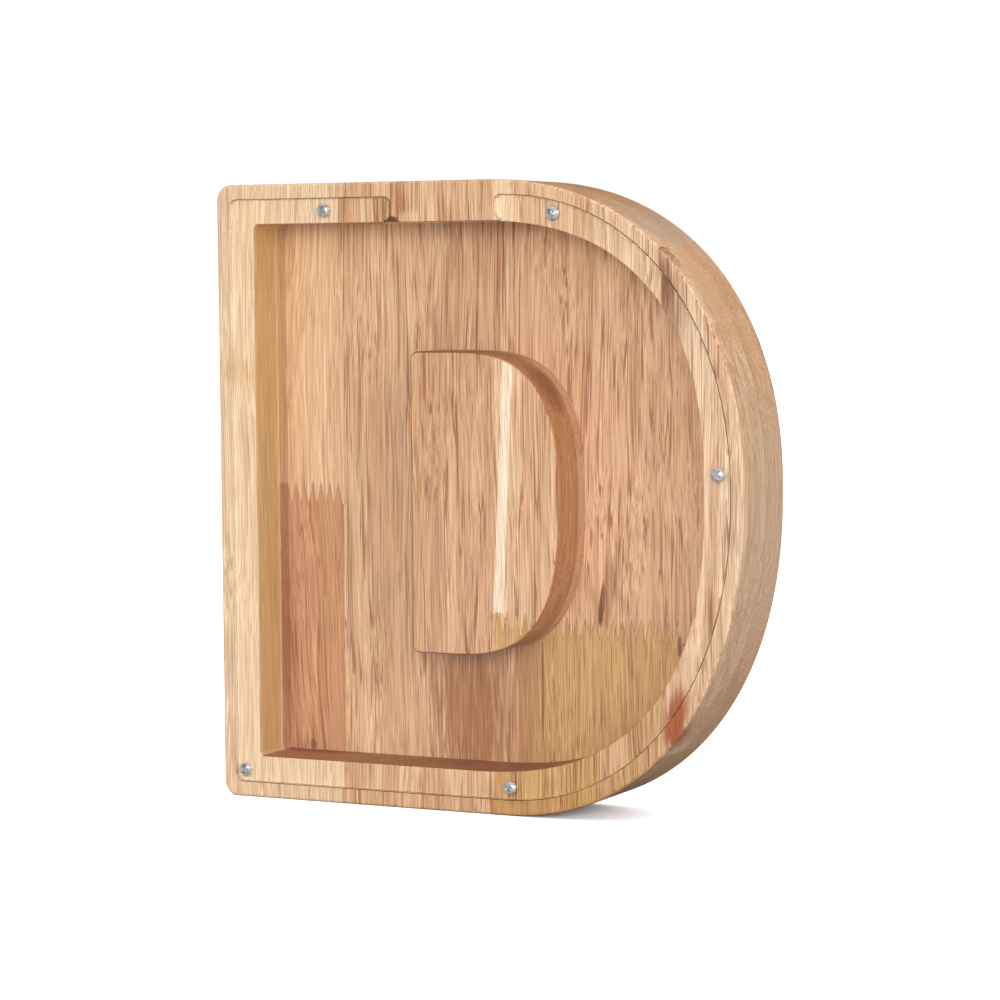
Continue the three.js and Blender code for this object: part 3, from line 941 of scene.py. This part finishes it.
def back_staves():
    whole = back_board()
    first, second, third, fourth = BACK_GLUE_LINES
    left_upper, left_lower = jointed(between(whole, -PAST, first), LEFT_JOINT, -PAST, first)
    right_upper, right_lower = jointed(between(whole, third, fourth), RIGHT_JOINT, third, fourth)
    return {
        "back_left_upper_stave": left_upper,
        "back_left_lower_stave": left_lower,
        "back_second_stave": between(whole, first, second),
        "back_third_stave": between(whole, second, third),
        "back_fourth_upper_stave": right_upper,
        "back_fourth_lower_stave": right_lower,
        "back_right_stave": between(whole, fourth, WIDTH + PAST),
    }


def new_object(name, mesh, material):
    data = bpy.data.meshes.new(name)
    mesh.to_mesh(data)
    mesh.free()
    made = bpy.data.objects.new(name, data)
    bpy.context.scene.collection.objects.link(made)
    data.materials.append(material)
    return made


def smooth_by_angle(mesh):
    """Smooth faces, with sharp edges where the surface turns by more than SHARP_ANGLE."""
    for face in mesh.faces:
        face.smooth = True
    for edge in mesh.edges:
        edge.smooth = len(edge.link_faces) == 2 and edge.calc_face_angle(math.pi) < SHARP_ANGLE


def finished(name, mesh, material, node, body):
    """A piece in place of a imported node, with smooth curves and flat faces that stay flat."""
    bmesh.ops.remove_doubles(mesh, verts=mesh.verts, dist=WELD)
    mesh.transform(PLACE)
    smooth_by_angle(mesh)
    piece = new_object(name, mesh, material)
    normals = piece.modifiers.new("flat_faces", "WEIGHTED_NORMAL")
    normals.keep_sharp = True
    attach(piece, body)
    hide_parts(node)


def window():
    """The acrylic sheet, with its rounded edge and the screws' holes."""
    points = letter(REBATE, tab_edge())
    back = REBATE_DEPTH - WINDOW_AIR
    levels = rounding(0.0, WINDOW_ROUND, 1) + rounding(back, WINDOW_ROUND, -1)[::-1]
    pane = lofted(points, [(depth, growth - WINDOW_GAP) for depth, growth in levels])
    pane = less(pane, rods(WINDOW_HOLE_RADIUS, -PAST, REBATE_DEPTH + PAST))
    finished("polished_window", pane, acrylic(), "window", "window")


def turned(mesh, profile):
    """Faces of a shape turned about y. profile gives radius and y, and begins and ends on the axis."""
    angles = [2 * math.pi * side / ROUND_SIDES for side in range(ROUND_SIDES)]
    rings = []
    for radius, y in profile:
        if radius == 0.0:
            corners = [(0.0, y, 0.0)]
        else:
            corners = [(radius * math.cos(a), y, radius * math.sin(a)) for a in angles]
        rings.append([mesh.verts.new(corner) for corner in corners])
    for first, second in zip(rings, rings[1:]):
        for side in range(ROUND_SIDES):
            corners = [ring[side % len(ring)] for ring in (first, second)]
            corners += [ring[(side + 1) % len(ring)] for ring in (second, first)]
            mesh.faces.new(list(dict.fromkeys(corners)))


def head_profile():
    """Pan head: a rounded crown, a rounded edge and a flat underside down to the neck."""
    profile = [(0.0, -HEAD_HEIGHT)]
    rise = HEAD_HEIGHT - HEAD_EDGE_HEIGHT
    for step in range(1, CROWN_STEPS + 1):
        angle = step / CROWN_STEPS * math.pi / 2
        radius = (HEAD_RADIUS - HEAD_TOP_RADIUS) * step / CROWN_STEPS + HEAD_TOP_RADIUS * math.sin(angle)
        profile.append((radius, -HEAD_EDGE_HEIGHT - rise * math.cos(angle) ** CROWN_POWER))
    profile += [(HEAD_RADIUS, -HEAD_CHAMFER), (HEAD_RADIUS - HEAD_CHAMFER, 0.0), (CORE_RADIUS, 0.0)]
    return profile + [(CORE_RADIUS, PLAIN_NECK), (0.0, PLAIN_NECK)]


def cross(mesh, scale, along):
    """The twelve corners of a cross-shaped recess at one depth."""
    far = RECESS_REACH * scale
    near = RECESS_WIDTH / 2 * scale
    quarter = [(far, near), (near, near), (near, far)]
    corners = []
    for turn in range(4):
        angle = turn * math.pi / 2
        for x, z in quarter:
            turned_x = x * math.cos(angle) - z * math.sin(angle)
            turned_z = x * math.sin(angle) + z * math.cos(angle)
            corners.append(mesh.verts.new((turned_x, along, turned_z)))
    return corners


def recess_cutter():
    """The cross recess, as a tapered plug."""
    mesh = bmesh.new()
    outer = cross(mesh, RECESS_FLARE, -HEAD_HEIGHT - RECESS_RISE)
    inner = cross(mesh, RECESS_TAPER, -HEAD_HEIGHT + RECESS_DEPTH)
    for step in range(len(outer)):
        after = (step + 1) % len(outer)
        mesh.faces.new((outer[step], outer[after], inner[after], inner[step]))
    mesh.faces.new(outer)
    mesh.faces.new(inner)
    bmesh.ops.recalc_face_normals(mesh, faces=mesh.faces)
    return mesh


def thread(mesh):
    """A helical ridge round a core that tapers to the screw's point."""
    rows = int((SHANK_LENGTH - PLAIN_NECK) / THREAD_PITCH * THREAD_ROWS)
    rings = []
    for row in range(rows + 1):
        along = PLAIN_NECK + (SHANK_LENGTH - PLAIN_NECK) * row / rows
        left = SHANK_LENGTH - along
        size = min(1.0, left / POINT_LENGTH + POINT_SHARE)
        ring = []
        for side in range(THREAD_SIDES):
            angle = 2 * math.pi * side / THREAD_SIDES
            turn = ((along - PLAIN_NECK) / THREAD_PITCH - side / THREAD_SIDES) % 1.0
            crest = max(0.0, 1.0 - abs(turn - 0.5) * CREST_SHARPNESS)
            radius = size * (CORE_RADIUS + (THREAD_RADIUS - CORE_RADIUS) * crest)
            ring.append(mesh.verts.new((radius * math.cos(angle), along, radius * math.sin(angle))))
        rings.append(ring)
    for first, second in zip(rings, rings[1:]):
        for side in range(THREAD_SIDES):
            after = (side + 1) % THREAD_SIDES
            mesh.faces.new((first[side], second[side], second[after], first[after]))
    mesh.faces.new(rings[0])
    mesh.faces.new(rings[-1])
    bmesh.ops.recalc_face_normals(mesh, faces=mesh.faces)


def screw_mesh():
    """One screw at the origin, in millimetres, its axis along y and its crown towards -y."""
    head = bmesh.new()
    turned(head, head_profile())
    bmesh.ops.recalc_face_normals(head, faces=head.faces)
    mesh = less(head, recess_cutter())
    shank = bmesh.new()
    thread(shank)
    add(mesh, shank)
    smooth_by_angle(mesh)
    return mesh


def screws():
    """Five copies of one screw, each turned by its own angle."""
    pattern = screw_mesh()
    material = zinc()
    for (node, degrees), (x, z) in zip(SCREW_TURNS.items(), screw_places()):
        mesh = pattern.copy()
        turn = Matrix.Rotation(math.radians(degrees), 4, "Y")
        mesh.transform(PLACE @ Matrix.Translation((x, 0.0, z)) @ turn)
        piece = new_object("zinc_" + node, mesh, material)
        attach(piece, node + "_body")
        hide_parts(node)
    pattern.free()


# ---- Stage ----
def floor():
    mesh = bmesh.new()
    bmesh.ops.create_grid(mesh, x_segments=2, y_segments=2, size=FLOOR_REACH)
    piece = new_object("floor", mesh, plain_white())


def new_light(name, data, direction):
    made = bpy.data.objects.new(name, data)
    made.rotation_mode = "QUATERNION"
    made.rotation_quaternion = Vector(direction).to_track_quat("-Z", "Y")
    bpy.context.scene.collection.objects.link(made)
    return made


def lamp(name, place, size, power):
    """A soft box aimed at the middle of the money box."""
    data = bpy.data.lights.new(name, "AREA")
    data.shape = "RECTANGLE"
    data.size, data.size_y = size
    data.energy = power
    new_light(name, data, Vector(LAMP_AIM) - Vector(place)).location = place


def ceiling():
    """Soft light from all over the ceiling, which keeps the floor evenly white."""
    data = bpy.data.lights.new("ceiling", "SUN")
    data.energy = CEILING_LIGHT
    data.angle = CEILING_SPREAD
    new_light("ceiling", data, CEILING_DIRECTION)


def room():
    """A pale room all round: warm as light, dim as a reflection and plain white as a backdrop."""
    world = bpy.data.worlds.new("studio")
    nodes = Nodes(world)
    mirrored = nodes.node("ShaderNodeLightPath").outputs["Is Glossy Ray"]
    unseen = nodes.node("ShaderNodeMapRange", Value=mirrored, To_Min=ROOM_LIGHT, To_Max=ROOM_REFLECTED)
    seen = seen_directly(nodes)
    strength = nodes.node("ShaderNodeMapRange", Value=seen, To_Min=unseen.outputs[0], To_Max=BACKDROP)
    colour = nodes.mix(seen, ROOM_COLOUR, (1.0, 1.0, 1.0))
    background = nodes.node("ShaderNodeBackground", Color=colour, Strength=strength.outputs[0])
    nodes.finish(background.outputs[0], "ShaderNodeOutputWorld")
    bpy.context.scene.world = world


def lights():
    lamp("key", KEY_PLACE, KEY_SIZE, KEY_LIGHT)
    lamp("fill", FILL_PLACE, FILL_SIZE, FILL_LIGHT)
    ceiling()
    room()
    bpy.context.scene.view_settings.view_transform = "Standard"


def camera():
    """The camera at the aim's front right, slightly above, and rolled by a fraction of a degree."""
    forward = Vector((
        -math.sin(CAMERA_YAW) * math.cos(CAMERA_PITCH),
        math.cos(CAMERA_YAW) * math.cos(CAMERA_PITCH),
        -math.sin(CAMERA_PITCH),
    ))
    level = Vector((math.cos(CAMERA_YAW), math.sin(CAMERA_YAW), 0.0))
    upright = level.cross(forward)
    right = math.cos(CAMERA_ROLL) * level + math.sin(CAMERA_ROLL) * upright
    up = math.cos(CAMERA_ROLL) * upright - math.sin(CAMERA_ROLL) * level
    data = bpy.data.cameras.new("camera")
    data.lens = LENS
    data.sensor_width = SENSOR
    made = bpy.data.objects.new("camera", data)
    turn = Matrix((right, up, -forward)).transposed().to_4x4()
    made.matrix_world = Matrix.Translation(AIM - forward * CAMERA_DISTANCE) @ turn
    bpy.context.scene.collection.objects.link(made)
    bpy.context.scene.camera = made


def main():
    camera()
    lights()
    floor()
    for node, mesh in {**front_staves(), **back_staves()}.items():
        finished("milled_" + node, mesh, wood(node), node, "block")
    window()
    screws()


main()
